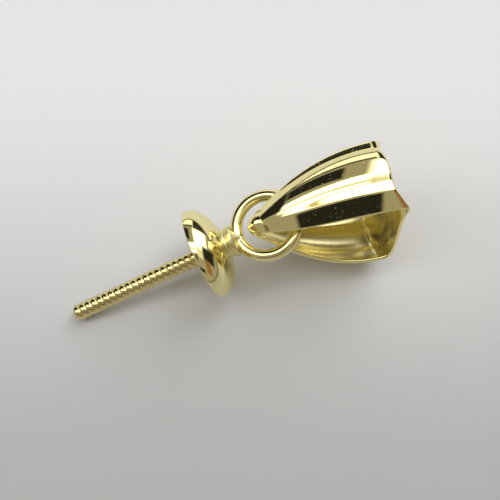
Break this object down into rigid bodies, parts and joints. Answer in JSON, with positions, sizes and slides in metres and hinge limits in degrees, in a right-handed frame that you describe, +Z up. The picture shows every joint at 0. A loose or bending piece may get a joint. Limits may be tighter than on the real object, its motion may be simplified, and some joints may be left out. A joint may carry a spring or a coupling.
{
  "type": "bail finding",
  "caption": "Gold-coloured pearl bail: a threaded glue-in peg with a domed cup, a soldered ring, and a fluted loose bail that a chain runs through.",
  "frame": {"origin": "on the table under the middle of the part's box, as it lies at rest", "axes": "+X along the peg in plan, from the tip of the post to the bail; +Y to the left of that; +Z up"},
  "size_m": [0.02, 0.0066, 0.0076],
  "materials": {
    "peg_gold": "polished pale gold plating on the post, cup, neck, solder and ring, slightly duller on the thread and the solder",
    "bail_gold": "mirror-polished pale gold plating on the folded sheet"
  },
  "bodies": {
    "root": {"cup_peg": "peg_gold", "bail": "bail_gold"}
  },
  "joints": []
}
